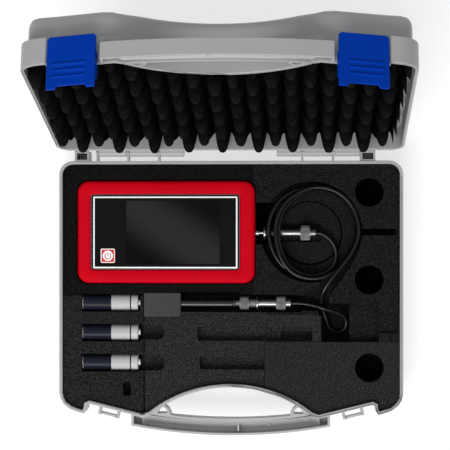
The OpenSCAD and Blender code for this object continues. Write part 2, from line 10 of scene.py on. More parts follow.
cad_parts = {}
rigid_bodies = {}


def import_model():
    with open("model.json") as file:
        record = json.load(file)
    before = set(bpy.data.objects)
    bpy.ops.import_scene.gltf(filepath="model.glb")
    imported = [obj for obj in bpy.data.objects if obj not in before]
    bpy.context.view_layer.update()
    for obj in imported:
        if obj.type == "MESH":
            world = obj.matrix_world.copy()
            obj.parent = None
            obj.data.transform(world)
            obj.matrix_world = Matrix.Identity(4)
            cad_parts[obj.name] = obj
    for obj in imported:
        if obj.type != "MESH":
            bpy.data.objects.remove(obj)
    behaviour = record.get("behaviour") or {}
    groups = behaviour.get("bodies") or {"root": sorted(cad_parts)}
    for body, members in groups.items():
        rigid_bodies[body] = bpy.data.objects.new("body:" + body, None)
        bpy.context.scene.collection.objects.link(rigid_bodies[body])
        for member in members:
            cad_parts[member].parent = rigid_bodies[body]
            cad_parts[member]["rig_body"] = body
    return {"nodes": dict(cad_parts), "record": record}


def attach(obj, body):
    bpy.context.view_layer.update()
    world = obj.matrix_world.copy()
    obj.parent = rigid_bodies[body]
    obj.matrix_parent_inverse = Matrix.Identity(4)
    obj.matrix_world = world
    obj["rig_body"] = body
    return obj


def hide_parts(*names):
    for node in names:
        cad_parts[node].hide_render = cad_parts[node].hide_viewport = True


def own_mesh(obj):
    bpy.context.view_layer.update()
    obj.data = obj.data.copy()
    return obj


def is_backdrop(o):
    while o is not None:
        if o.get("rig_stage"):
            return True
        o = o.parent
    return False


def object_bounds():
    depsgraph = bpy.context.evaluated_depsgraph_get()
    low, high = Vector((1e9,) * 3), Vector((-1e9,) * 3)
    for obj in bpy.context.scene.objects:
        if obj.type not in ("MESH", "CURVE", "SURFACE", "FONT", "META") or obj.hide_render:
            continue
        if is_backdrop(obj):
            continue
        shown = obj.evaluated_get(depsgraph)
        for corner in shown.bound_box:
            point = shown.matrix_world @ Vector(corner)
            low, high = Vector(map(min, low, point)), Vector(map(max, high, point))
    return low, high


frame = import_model()
NODES = frame["nodes"]
SIZE_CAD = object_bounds()
MM = 0.001

# ------------------------------------------------------------------ outlines
HW, BACK_Y, HALF_H = 150.0, 110.7, 39.0
HINGE_Y = 117.8
OPEN = math.radians(-104.5)
ARCH_C, ARCH_R = -200.7, 114.0
T_HINGE = Matrix.Translation((0, HINGE_Y, HALF_H))
OPEN_M = T_HINGE @ Matrix.Rotation(OPEN, 4, "X") @ T_HINGE.inverted()


def arc(cx, cy, r, a0, a1, n):
    return [(cx + r * math.cos(math.radians(a0 + (a1 - a0) * i / n)), cy + r * math.sin(math.radians(a0 + (a1 - a0) * i / n))) for i in range(n + 1)]


def flip(p):
    return [(-x, y) for x, y in reversed(p)]


def inset(p, d):
    out = []
    n = len(p)
    for i in range(n):
        a, b, c = (np.array(p[(i - 1) % n]), np.array(p[i]), np.array(p[(i + 1) % n]))
        u = (b - a) / np.linalg.norm(b - a)
        v = (c - b) / np.linalg.norm(c - b)
        m, k = np.array([-u[1], u[0]]), np.array([-v[1], v[0]])
        out.append(tuple(b + (m + k) * (d / (1 + float(m @ k)))))
    return out


def on_arch(r, a):
    return (r * math.cos(math.radians(a)), ARCH_C + r * math.sin(math.radians(a)))


rim_left = arc(12 - HW, BACK_Y - 12, 12, 90, 180, 8) + [
    (-HW, -92), (1.1 - HW, -97), (3.9 - HW, -102), (9.5 - HW, -106.3), (15 - HW, -108.4), (-128.6, -110.3), (-126.2, -107),
    (-125.4, -102.6), (-123.4, -101.66), (-76.5, -113.3), (-70, -110.9)] + [on_arch(ARCH_R, 122.9 - 3.29 * i) for i in range(10)]
RIM = rim_left + [(0, ARCH_C + ARCH_R)] + flip(rim_left)
body_left = arc(16 - HW, BACK_Y - 16, 12, 90, 180, 8) + [
    (4 - HW, -86), (6 - HW, -91), (11.5 - HW, -94.8), (-126, -97.2), (-88, -106.6), (-79, -106), (-71, -101.6)] + [
    on_arch(119.4, 123.5 - 33.5 * i / 8) for i in range(1, 8)]
BODY = body_left + [(0, ARCH_C + 119.4)] + flip(body_left)


# ------------------------------------------------------------------ materials
def node_tree(m):
    if hasattr(m, "use_nodes") and not m.use_nodes:
        m.use_nodes = True
    return m.node_tree


def rgb(v):
    return (v[0], v[1], v[2], 1.0) if len(v) == 3 else tuple(v)


def new_mat(name, colour, rough=0.5, metallic=0.0, specular=0.5, mottle=(30, 0.06), grain=(1500, 0.15, 0.0002), rough_vary=(120, 0.08), coat=0.0,
            coat_rough=0.1, speck=None, sheen=0.0, second=None, stretch=(1, 1, 1)):
    """Procedural surface: colour mottle, roughness variation and a fine relief, all in the piece's own coordinates."""
    m = bpy.data.materials.new(name)
    nt = node_tree(m)
    nt.nodes.clear()
    out = nt.nodes.new("ShaderNodeOutputMaterial")
    bsdf = nt.nodes.new("ShaderNodeBsdfPrincipled")
    nt.links.new(bsdf.outputs[0], out.inputs[0])
    tc = nt.nodes.new("ShaderNodeTexCoord")
    mp = nt.nodes.new("ShaderNodeMapping")
    mp.inputs["Scale"].default_value = stretch
    nt.links.new(tc.outputs["Object"], mp.inputs[0])
    vec = mp.outputs[0]
    # colour
    n1 = nt.nodes.new("ShaderNodeTexNoise")
    n1.inputs["Scale"].default_value = mottle[0]
    n1.inputs["Detail"].default_value = 4
    nt.links.new(vec, n1.inputs["Vector"])
    ramp = nt.nodes.new("ShaderNodeValToRGB")
    lo = [max(0.0, c * (1 - mottle[1])) for c in colour[:3]]
    hi = [min(1.0, c * (1 + mottle[1])) for c in (second or colour)[:3]]
    ramp.color_ramp.elements[0].position = 0.3
    ramp.color_ramp.elements[0].color = rgb(lo)
    ramp.color_ramp.elements[1].position = 0.7
    ramp.color_ramp.elements[1].color = rgb(hi)
    nt.links.new(n1.outputs["Fac"], ramp.inputs[0])
    colour_out = ramp.outputs[0]
    if speck:  # scale, threshold, colour
        n3 = nt.nodes.new("ShaderNodeTexNoise")
        n3.inputs["Scale"].default_value = speck[0]
        n3.inputs["Detail"].default_value = 2
        nt.links.new(vec, n3.inputs["Vector"])
        r3 = nt.nodes.new("ShaderNodeValToRGB")
        r3.color_ramp.elements[0].position = speck[1]
        r3.color_ramp.elements[0].color = (0, 0, 0, 1)
        r3.color_ramp.elements[1].position = min(1.0, speck[1] + 0.1)
        r3.color_ramp.elements[1].color = (1, 1, 1, 1)
        nt.links.new(n3.outputs["Fac"], r3.inputs[0])
        mix = nt.nodes.new("ShaderNodeMix")
        mix.data_type = "RGBA"
        nt.links.new(r3.outputs[0], mix.inputs[0])
        nt.links.new(colour_out, mix.inputs[6])
        mix.inputs[7].default_value = rgb(speck[2])
        colour_out = mix.outputs[2]
    nt.links.new(colour_out, bsdf.inputs["Base Color"])
    # roughness
    n2 = nt.nodes.new("ShaderNodeTexNoise")
    n2.inputs["Scale"].default_value = rough_vary[0]
    n2.inputs["Detail"].default_value = 3
    nt.links.new(vec, n2.inputs["Vector"])
    mr = nt.nodes.new("ShaderNodeMapRange")
    mr.inputs["To Min"].default_value = max(0.02, rough - rough_vary[1])
    mr.inputs["To Max"].default_value = min(1.0, rough + rough_vary[1])
    nt.links.new(n2.outputs["Fac"], mr.inputs["Value"])
    nt.links.new(mr.outputs[0], bsdf.inputs["Roughness"])
    # relief
    n4 = nt.nodes.new("ShaderNodeTexNoise")
    n4.inputs["Scale"].default_value = grain[0]
    n4.inputs["Detail"].default_value = 3
    nt.links.new(vec, n4.inputs["Vector"])
    bump = nt.nodes.new("ShaderNodeBump")
    bump.inputs["Strength"].default_value = grain[1]
    bump.inputs["Distance"].default_value = grain[2]
    nt.links.new(n4.outputs["Fac"], bump.inputs["Height"])
    nt.links.new(bump.outputs[0], bsdf.inputs["Normal"])
    bsdf.inputs["Metallic"].default_value = metallic
    bsdf.inputs["Specular IOR Level"].default_value = specular
    bsdf.inputs["Coat Weight"].default_value = coat
    bsdf.inputs["Coat Roughness"].default_value = coat_rough
    if sheen:
        bsdf.inputs["Sheen Weight"].default_value = sheen
        bsdf.inputs["Sheen Roughness"].default_value = 0.6
    m.diffuse_color = rgb(colour)
    return m


def banded(name, stops, lo, hi, **kw):
    """Like new_mat, with colour bands along X: stops are (position 0-1, colour)."""
    m = new_mat(name, stops[0][1], **kw)
    nt = m.node_tree
    bsdf = next(n for n in nt.nodes if n.type == "BSDF_PRINCIPLED")
    for link in list(bsdf.inputs["Base Color"].links):
        nt.links.remove(link)
    tc = nt.nodes.new("ShaderNodeTexCoord")
    sep = nt.nodes.new("ShaderNodeSeparateXYZ")
    nt.links.new(tc.outputs["Object"], sep.inputs[0])
    mr = nt.nodes.new("ShaderNodeMapRange")
    mr.inputs["From Min"].default_value = lo
    mr.inputs["From Max"].default_value = hi
    nt.links.new(sep.outputs["X"], mr.inputs["Value"])
    ramp = nt.nodes.new("ShaderNodeValToRGB")
    ramp.color_ramp.interpolation = "CONSTANT"
    while len(ramp.color_ramp.elements) < len(stops):
        ramp.color_ramp.elements.new(0.5)
    for el, (pos, col) in zip(ramp.color_ramp.elements, stops):
        el.position = pos
        el.color = rgb(col)
    nt.links.new(mr.outputs[0], ramp.inputs[0])
    nt.links.new(ramp.outputs[0], bsdf.inputs["Base Color"])
    return m


M = {}
M["case_shell"] = new_mat("case_shell_mat", (0.335, 0.34, 0.345), 0.42, mottle=(22, 0.04), grain=(2600, 0.22, 0.0001), rough_vary=(60, 0.06), specular=0.45)
M["hinge_pin"] = new_mat("hinge_pin_mat", (0.55, 0.55, 0.57), 0.34, 1.0, grain=(900, 0.1, 0.00005), stretch=(0.1, 1, 1))
# each foam piece takes its own tone: darkest round the meter, lightest at the front
FOAM_TONES = {"foam_meter": 0.0052, "foam_front": 0.0178, "foam_corner": 0.0165, "foam_coil": 0.009, "foam_recess": 0.009, "foam_rear": 0.009, "foam_cells": 0.0127, "foam_pad": 0.008}
for piece, tone in FOAM_TONES.items():
    M[piece] = new_mat(piece + "_mat", (tone, tone, tone * 1.06), 0.97, specular=0.02, mottle=(820, 0.75), grain=(900, 0.7, 0.0008), speck=(1050, 0.60, (tone * 4.2, tone * 4.2, tone * 4.3)))
M["base_foam"] = M["foam_coil"]
# painted shade: near-black colour for the ring that stands in for the shade in the knife's cut
M["cut_shade"] = new_mat("cut_shade_mat", (0.0022, 0.0022, 0.0022), 0.97, specular=0.0)


def painted_depth_shade(m, direction, near, far, k_near, k_far):
    """Multiplies a material's colour along a direction in the piece's own coordinates: painted light and shade that
    follow depth.
    """
    nt = m.node_tree
    bsdf = next(n for n in nt.nodes if n.type == "BSDF_PRINCIPLED")
    src = bsdf.inputs["Base Color"].links[0].from_socket
    tc = nt.nodes.new("ShaderNodeTexCoord")
    dot = nt.nodes.new("ShaderNodeVectorMath")
    dot.operation = "DOT_PRODUCT"
    dot.inputs[1].default_value = direction
    nt.links.new(tc.outputs["Object"], dot.inputs[0])
    mr = nt.nodes.new("ShaderNodeMapRange")
    mr.inputs["From Min"].default_value = near
    mr.inputs["From Max"].default_value = far
    mr.inputs["To Min"].default_value = k_near
    mr.inputs["To Max"].default_value = k_far
    nt.links.new(dot.outputs["Value"], mr.inputs["Value"])
    mul = nt.nodes.new("ShaderNodeVectorMath")
    mul.operation = "SCALE"
    nt.links.new(src, mul.inputs[0])
    nt.links.new(mr.outputs[0], mul.inputs["Scale"])
    nt.links.new(mul.outputs[0], bsdf.inputs["Base Color"])


M["lid_foam"] = new_mat("lid_foam_mat", (0.0052, 0.0052, 0.0054), 0.97, specular=0.02, mottle=(500, 0.5), grain=(800, 0.7, 0.0008), speck=(900, 0.66, (0.02, 0.02, 0.021)))
for piece in ("foam_coil", "foam_recess", "foam_rear", "foam_corner"):  # painted shade: deep floors darken
    painted_depth_shade(M[piece], (0, 0, 1), 0.0125, 0.0212, 0.12, 1.0)
# painted light and shade on the lid foam: tips lighter, valleys darker
LID_IN = (OPEN_M.to_3x3() @ Vector((0, 0, 1)))
painted_depth_shade(M["lid_foam"], LID_IN, LID_IN.dot(OPEN_M @ Vector((0, 0, 33))) * MM, LID_IN.dot(OPEN_M @ Vector((0, 0, 50))) * MM, 1.35, 0.08)
M["latch"] = new_mat("latch_mat", (0.0, 0.033, 0.315), 0.32, mottle=(60, 0.05), grain=(2000, 0.05, 0.0001), specular=0.03, rough_vary=(90, 0.05))
M["holster"] = new_mat("holster_mat", (0.50, 0.0008, 0.0085), 0.5, mottle=(40, 0.05), grain=(1800, 0.2, 0.00015), specular=0.03, rough_vary=(70, 0.1))
M["meter_case"] = new_mat("meter_case_mat", (0.014, 0.014, 0.015), 0.55, grain=(2400, 0.3, 0.00015))
M["overlay_panel"] = new_mat("overlay_panel_mat", (0.0035, 0.0035, 0.0037), 0.32, grain=(2600, 0.06, 0.0001), specular=0.06, rough_vary=(50, 0.05))
M["display_glass"] = new_mat("display_glass_mat", (0.0195, 0.0195, 0.0195), 0.14, grain=(60, 0.01, 0.0001), specular=0.07, rough_vary=(30, 0.03), mottle=(12, 0.03))
nt = M["display_glass"].node_tree
_bsdf = next(n for n in nt.nodes if n.type == "BSDF_PRINCIPLED")
_src = _bsdf.inputs["Base Color"].links[0].from_socket
_tc = nt.nodes.new("ShaderNodeTexCoord")
_dot = nt.nodes.new("ShaderNodeVectorMath")
_dot.operation = "DOT_PRODUCT"
_dot.inputs[1].default_value = (12.05, 17.73, 0)
nt.links.new(_tc.outputs["Object"], _dot.inputs[0])
_sub = nt.nodes.new("ShaderNodeMath")
_sub.operation = "SUBTRACT"
_sub.inputs[1].default_value = 0.25
nt.links.new(_dot.outputs["Value"], _sub.inputs[0])
_abs = nt.nodes.new("ShaderNodeMath")
_abs.operation = "ABSOLUTE"
nt.links.new(_sub.outputs[0], _abs.inputs[0])
_painted_glare = nt.nodes.new("ShaderNodeValToRGB")  # painted reflection: a lighter band along one diagonal of the glass
_painted_glare.color_ramp.interpolation = "EASE"
_painted_glare.color_ramp.elements[0].position = 0.08
_painted_glare.color_ramp.elements[0].color = (1, 1, 1, 1)
_painted_glare.color_ramp.elements[1].position = 0.72
_painted_glare.color_ramp.elements[1].color = (0.06, 0.06, 0.06, 1)
nt.links.new(_abs.outputs[0], _painted_glare.inputs[0])
_mul = nt.nodes.new("ShaderNodeVectorMath")
_mul.operation = "MULTIPLY"
nt.links.new(_src, _mul.inputs[0])
nt.links.new(_painted_glare.outputs[0], _mul.inputs[1])
nt.links.new(_mul.outputs[0], _bsdf.inputs["Base Color"])
M["display_module"] = new_mat("display_module_mat", (0.03, 0.032, 0.034), 0.4)
M["board"] = new_mat("board_mat", (0.015, 0.11, 0.035), 0.38, mottle=(500, 0.25), grain=(700, 0.3, 0.0002))
M["contact_metal"] = new_mat("contact_metal_mat", (0.6, 0.6, 0.57), 0.28, 1.0, grain=(900, 0.1, 0.00005))
M["screw_steel"] = new_mat("screw_steel_mat", (0.4, 0.4, 0.42), 0.35, 1.0, grain=(1400, 0.2, 0.00006))
M["power_key"] = new_mat("power_key_mat", (0.52, 0.006, 0.014), 0.34, grain=(1600, 0.05, 0.0001), specular=0.4)
M["print_white"] = new_mat("print_white_mat", (0.86, 0.86, 0.86), 0.45, grain=(3000, 0.05, 0.00005), mottle=(300, 0.05))
M["print_red"] = new_mat("print_red_mat", (0.5, 0.006, 0.014), 0.4, grain=(3000, 0.05, 0.00005), mottle=(300, 0.05))
M["bezel_line"] = new_mat("bezel_line_mat", (0.11, 0.11, 0.115), 0.3, grain=(3000, 0.05, 0.00005), mottle=(300, 0.1))
M["connector_metal"] = new_mat("connector_metal_mat", (0.25, 0.25, 0.257), 0.27, 0.9, grain=(1500, 0.05, 0.00004), stretch=(4, 1, 1), mottle=(80, 0.08))
M["knurled_metal"] = new_mat("knurled_metal_mat", (0.15, 0.15, 0.152), 0.5, 0.35, specular=0.4, grain=(1800, 0.3, 0.00008), mottle=(260, 0.2))
M["probe_jack"] = M["knurled_metal"]
M["connector_black"] = new_mat("connector_black_mat", (0.012, 0.012, 0.012), 0.5, grain=(2200, 0.2, 0.0001))
M["cable_jacket"] = new_mat("cable_jacket_mat", (0.003, 0.003, 0.0032), 0.27, specular=0.25, grain=(1500, 0.12, 0.0001), mottle=(60, 0.15), rough_vary=(40, 0.1))
_nt = M["cable_jacket"].node_tree  # painted shade: its shine is turned down where it dips into the deep recess
_tc = _nt.nodes.new("ShaderNodeTexCoord")
_sep = _nt.nodes.new("ShaderNodeSeparateXYZ")
_nt.links.new(_tc.outputs["Object"], _sep.inputs[0])
_recess_shade = _nt.nodes.new("ShaderNodeMapRange")
_recess_shade.inputs["From Min"].default_value = 0.0212
_recess_shade.inputs["From Max"].default_value = 0.0236
_recess_shade.inputs["To Min"].default_value = 0.015
_recess_shade.inputs["To Max"].default_value = 0.25
_nt.links.new(_sep.outputs["Z"], _recess_shade.inputs["Value"])
_nt.links.new(_recess_shade.outputs[0], next(n for n in _nt.nodes if n.type == "BSDF_PRINCIPLED").inputs["Specular IOR Level"])
M["probe_tube"] = new_mat("probe_tube_mat", (0.004, 0.004, 0.0042), 0.22, specular=0.35, grain=(1200, 0.06, 0.0001))
M["probe_head"] = new_mat("probe_head_mat", (0.041, 0.041, 0.042), 0.5, specular=0.1, grain=(2200, 0.3, 0.00012), mottle=(60, 0.08))
M["cell_metal"] = new_mat("cell_metal_mat", (0.7, 0.7, 0.71), 0.42, 0.1, grain=(700, 0.06, 0.00005), stretch=(1, 0.2, 0.2))
SILVER, NAVY = (0.42, 0.424, 0.428), (0.009, 0.0103, 0.019)
M["cell_wrap"] = banded("cell_wrap_mat", [(0.0, NAVY), (0.497, SILVER), (0.824, (0.01, 0.01, 0.011)), (0.845, (0.45, 0.46, 0.47))], -0.130, -0.0795,
                        rough=0.26, specular=0.07, coat=0.03, coat_rough=0.1, grain=(500, 0.03, 0.0001))
M["floor"] = new_mat("floor_mat", (0.42, 0.42, 0.42), 0.9, specular=0.02, mottle=(2, 0.004), grain=(150, 0.02, 0.0002))
_glow = next(n for n in M["floor"].node_tree.nodes if n.type == "BSDF_PRINCIPLED")
_glow.inputs["Emission Color"].default_value = (1, 1, 1, 1)
_glow.inputs["Emission Strength"].default_value = 0.61


# ------------------------------------------------------------------ mesh tools
def set_smooth(me, angle=35):
    me.polygons.foreach_set("use_smooth", [True] * len(me.polygons))
    if angle < 180:
        me.set_sharp_from_angle(angle=math.radians(angle))


def put(name, verts, faces, mat, body, angle=35, scale=MM):
    """New piece from vertices in millimetres in the row frame."""
    me = bpy.data.meshes.new(name)
    me.from_pydata([tuple(c * scale for c in v) for v in verts], [], [tuple(f) for f in faces])
    me.validate()
    bm = bmesh.new()
    bm.from_mesh(me)
    bmesh.ops.recalc_face_normals(bm, faces=bm.faces)
    bm.to_mesh(me)
    bm.free()
    me.materials.append(M[mat])
    set_smooth(me, angle)
    ob = bpy.data.objects.new(name, me)
    bpy.context.scene.collection.objects.link(ob)
    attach(ob, body)
    return ob


def bevel(ob, width, seg=2, angle=35, hard=False):
    b = ob.modifiers.new("edge", "BEVEL")
    b.width = width * MM
    b.segments = seg
    b.limit_method = "ANGLE"
    b.angle_limit = math.radians(angle)
    b.use_clamp_overlap = False
    b.harden_normals = hard
    if not hard:
        w = ob.modifiers.new("normals", "WEIGHTED_NORMAL")
        w.keep_sharp = True
    return ob


def refined(node, mat, width=0.35, seg=2, angle=35, change=None, name=None, dissolve=0.5, split=None):
    """A finer copy of a CAD node: its facets joined, its edges broken."""
    src = NODES[node]
    me = src.data.copy()
    me.materials.clear()
    for a in ("custom_normal", "sharp_edge", "sharp_face"):
        if a in me.attributes:
            me.attributes.remove(me.attributes[a])
    while me.uv_layers:
        me.uv_layers.remove(me.uv_layers[0])
    bm = bmesh.new()
    bm.from_mesh(me)
    bmesh.ops.remove_doubles(bm, verts=bm.verts, dist=2e-6)
    if change:
        change(bm)
        bmesh.ops.remove_doubles(bm, verts=bm.verts, dist=2e-5)
    bmesh.ops.dissolve_degenerate(bm, edges=bm.edges, dist=1e-6)
    if dissolve:
        bmesh.ops.dissolve_limit(bm, angle_limit=math.radians(dissolve), verts=bm.verts, edges=bm.edges)
        if split:  # long concave faces are cut up where asked, so that they fill as they should
            bmesh.ops.triangulate(bm, faces=[f for f in bm.faces if len(f.verts) > 4], ngon_method="EAR_CLIP")
    bm.to_mesh(me)
    bm.free()
    me.materials.append(M[mat])
    set_smooth(me, angle)
    ob = bpy.data.objects.new(name or node + "_fine", me)
    bpy.context.scene.collection.objects.link(ob)
    if width:
        bevel(ob, width, seg, angle)
    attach(ob, src["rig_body"])
    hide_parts(node)
    return ob


def rr(hx, hy, r, n=10):
    """Rounded rectangle loop round the origin, from the right side, counter-clockwise."""
    pts = []
    for cx, cy, a0 in ((hx - r, hy - r, 0), (-hx + r, hy - r, 90), (-hx + r, -hy + r, 180), (hx - r, -hy + r, 270)):
        for i in range(n + 1):
            a = math.radians(a0 + 90 * i / n)
            pts.append((cx + r * math.cos(a), cy + r * math.sin(a)))
    return pts


def loft(loops, closed=False, caps=False):
    """Faces between loops of equal length, given as lists of points."""
    n = len(loops[0])
    verts = [p for loop in loops for p in loop]
    faces = []
    k = len(loops)
    for i in range(k if closed else k - 1):
        a, b = i * n, ((i + 1) % k) * n
        faces += [(a + j, a + (j + 1) % n, b + (j + 1) % n, b + j) for j in range(n)]
    if caps and not closed:
        faces.append(tuple(range(n - 1, -1, -1)))
        faces.append(tuple((k - 1) * n + j for j in range(n)))
    return verts, faces


def xform(pts, m):
    return [tuple(m @ Vector(p)) for p in pts]


# ------------------------------------------------------------------ case halves
STEPS = [(0.8, 4.6, 2.8), (2.2, 2.8, 1.5), (4.4, 1.5, 0.5), (8.0, 0.5, 0.0)]


LID_H = 44.0


def round_body(lid):
    back = OPEN_M.inverted()
    zf = HALF_H - LID_H if lid else 0.0

    def change(bm):
        loops = [(z, np.array(inset(BODY, a + 0.001)), np.array(inset(BODY, b + 0.001))) for z, a, b in STEPS]
        for v in bm.verts:
            p = v.co / MM
            if lid:
                p = back @ p
                p.z = 2 * HALF_H - p.z
            if p.z - zf > 9:
                continue
            for z, low, high in loops:
                if abs(p.z - zf - z) < 0.03:
                    d = np.hypot(low[:, 0] - p.x, low[:, 1] - p.y)
                    j = int(d.argmin())
                    if d[j] < 0.08:
                        q = Vector((high[j][0], high[j][1], z + zf))
                        if lid:
                            q.z = 2 * HALF_H - q.z
                            q = OPEN_M @ q
                        v.co = q * MM
                    break
    return change


base_case = refined("base_shell", "case_shell", 0.4, 2, 38, round_body(False), split=True)
lid_case = refined("lid_shell", "case_shell", 0.4, 2, 38, round_body(True), split=True)

def handle_trough(name, lid):
    """Smooth hollow of the moulded handle, from its inner edge down to the foot of the outer wall."""
    m = Matrix.Identity(4)
    if lid:
        m = OPEN_M @ T_TURN
    n, k = 48, 10
    verts = []
    for i in range(n + 1):
        x = -77.6 + 155.2 * i / n
        y_in = 376.7 - math.sqrt(492.5 ** 2 - x * x) - 0.7
        y_out = 346.8 - math.sqrt(473.1 ** 2 - x * x) + 0.1
        end = max(0.0, (abs(x) - 70.0) / 7.6)
        for j in range(k + 1):
            t = j / k
            z = 36.9 - 8.4 * math.sin(math.pi * 0.62 * min(1.0, t * 1.12)) ** 1.5 * (1 - 0.7 * end ** 2)
            verts.append((x, y_in + (y_out - y_in) * t, max(28.15, z)))
        verts += [(x, y_out, 28.05), (x, y_in, 28.05)]
    w = k + 3
    faces = []
    for i in range(n):
        for j in range(w):
            a, b = i * w + j, i * w + (j + 1) % w
            faces.append((a, b, b + w, a + w))
    faces.append(tuple(range(w)))
    faces.append(tuple(n * w + j for j in reversed(range(w))))
    return put(name, xform(verts, m), faces, "case_shell", "lid" if lid else "base", 50)


T_TURN = Matrix.Translation((0, 0, 2 * HALF_H)) @ Matrix.Rotation(math.pi, 4, "Y")
handle_trough("base_handle_trough", False)
handle_trough("lid_handle_trough", True)


def rim_tongue(name, lid):
    """Thin raised strip along the left half of the rim, which drops into the groove of the other half."""
    m = OPEN_M @ T_TURN if lid else Matrix.Identity(4)
    n = len(rim_left)
    outer, inner = inset(RIM, 1.15), inset(RIM, 1.75)
    path = [((1.15 - HW, 97.0), (1.75 - HW, 97.0))] + [(outer[i], inner[i]) for i in range(n) if outer[i][1] < 90]
    verts = []
    for o, i in path:
        verts += [(o[0], o[1], 38.6), (o[0], o[1], 39.55), (i[0], i[1], 39.55), (i[0], i[1], 38.6)]
    k = len(path)
    faces = [(4 * a + j, 4 * a + (j + 1) % 4, 4 * a + 4 + (j + 1) % 4, 4 * a + 4 + j) for a in range(k - 1) for j in range(4)]
    faces += [(3, 2, 1, 0), tuple(4 * (k - 1) + j for j in range(4))]
    return put(name, xform(verts, m), faces, "case_shell", "lid" if lid else "base", 40)


rim_tongue("base_rim_tongue", False)
rim_tongue("lid_rim_tongue", True)

# ------------------------------------------------------------------ foam in the base
for node in ("foam_meter", "foam_front", "foam_corner", "foam_coil", "foam_recess", "foam_rear", "foam_cells", "foam_pad"):
    cut_foam = refined(node, "base_foam", 0, 0, 30, dissolve=0)
    cut_foam.data.materials[0] = M[node]

# the knife's round cut in the floor of the cable's pocket: a real cut, drawn as a near-black ring of painted shade that
# widens toward the front as painted shadow of the step
verts, faces = [], []
for i in range(96):
    a = 2 * math.pi * i / 96
    w = 0.55 + 0.2 * (1 - math.sin(a))
    for r, z in ((27.55 - w, 21.95), (27.65 - w, 22.07), (27.65 + w, 22.07), (27.75 + w, 21.95)):
        verts.append((69.4 + r * math.cos(a), 47.7 + r * math.sin(a), z))
    b = (i + 1) % 96
    faces += [(4 * i + j, 4 * b + j, 4 * b + (j + 1) % 4, 4 * i + (j + 1) % 4) for j in range(4)]
put("coil_pocket_cut", verts, faces, "cut_shade", "base", 180)

# ------------------------------------------------------------------ convoluted foam in the lid


def lid_wave(x, y):
    dx = 2.2 * noise.noise(Vector((x * 0.028, y * 0.028, 7.7)))
    dy = 2.2 * noise.noise(Vector((x * 0.028, y * 0.028, 13.1)))
    q = math.cos(2 * math.pi * (x + dx - 24.6) / 30.0) * math.cos(math.pi * (y + dy - 96.4) / 18.6)
    g = 1.0 - ((1.0 - q) / 0.98) ** 1.8
    g = 0.5 * (g + math.sqrt(g * g + 0.02))
    n = noise.noise(Vector((x * 0.05, y * 0.05, 3.1))) * 0.6
    return 55.0 - 22.0 * g + n


def fill(outline, step, height, z_back):
    """Closed solid: a relief over an outline, and a flat back."""
    xs = [p[0] for p in outline]
    ys = [p[1] for p in outline]
    edge = []
    n = len(outline)
    for i in range(n):
        a, b = outline[i], outline[(i + 1) % n]
        d = math.hypot(b[0] - a[0], b[1] - a[1])
        k = max(1, int(d / step))
        edge += [(a[0] + (b[0] - a[0]) * t / k, a[1] + (b[1] - a[1]) * t / k) for t in range(k)]
    poly = np.array(edge)
    gx = np.arange(min(xs) + step / 2, max(xs), step)
    gy = np.arange(min(ys) + step / 2, max(ys), step)
    g = np.array([(x, y) for y in gy for x in gx])
    inside = np.zeros(len(g), bool)
    near = np.full(len(g), 1e9)
    m = len(poly)
    for i in range(m):
        a, b = poly[i], poly[(i + 1) % m]
        cross = ((a[1] > g[:, 1]) != (b[1] > g[:, 1]))
        if abs(b[1] - a[1]) > 1e-12:
            inside ^= cross & (g[:, 0] < (b[0] - a[0]) * (g[:, 1] - a[1]) / (b[1] - a[1]) + a[0])
        near = np.minimum(near, np.hypot(g[:, 0] - a[0], g[:, 1] - a[1]))
    g = g[inside & (near > step * 0.55)]
    pts = [Vector(p) for p in edge] + [Vector(p) for p in g]
    res = geometry.delaunay_2d_cdt(pts, [(i, (i + 1) % m) for i in range(m)], [], 1, 1e-4)
    v2, faces = res[0], res[2]
    k = len(v2)
    verts = [(p.x, p.y, height(p.x, p.y)) for p in v2]
    verts += [(v2[i].x, v2[i].y, z_back) for i in range(m)]
    allf = [tuple(f) for f in faces]
    allf += [(i, (i + 1) % m, k + (i + 1) % m, k + i) for i in range(m)]
    allf.append(tuple(k + i for i in range(m)))
    return verts, allf


LID_STEP = 1.5
# the sheet ends short of the right side wall
sheet_line = [(x - 6.5 * min(1.0, max(0.0, (x - 60) / 80)) * min(1.0, max(0.0, (y + 98) / 14)), y) for x, y in inset(RIM, 3.35)]
verts, faces = fill(sheet_line, LID_STEP, lid_wave, 59.0)
egg = put("lid_foam_sheet", xform(verts, OPEN_M), faces, "lid_foam", "lid", 60)
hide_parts("lid_foam")
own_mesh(egg)
back_line = inset(BODY, 2.35)
loops = [[(x, y, z) for x, y in inset(BODY, d)] for d, z in ((3.2, 59.1), (2.4, 60.0), (2.35, 74.5), (2.85, 75.4), (2.85, 78.2), (4.6, 78.8), (4.6, 80.4))]
verts, faces = loft(loops, caps=True)
backing = put("lid_foam_backing", xform(verts, OPEN_M), faces, "lid_foam", "lid", 40)
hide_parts("lid_foam")

# ------------------------------------------------------------------ latches
latch_l = refined("latch_left", "latch", 0.5, 2, 35)
latch_r = refined("latch_right", "latch", 0.5, 2, 35)

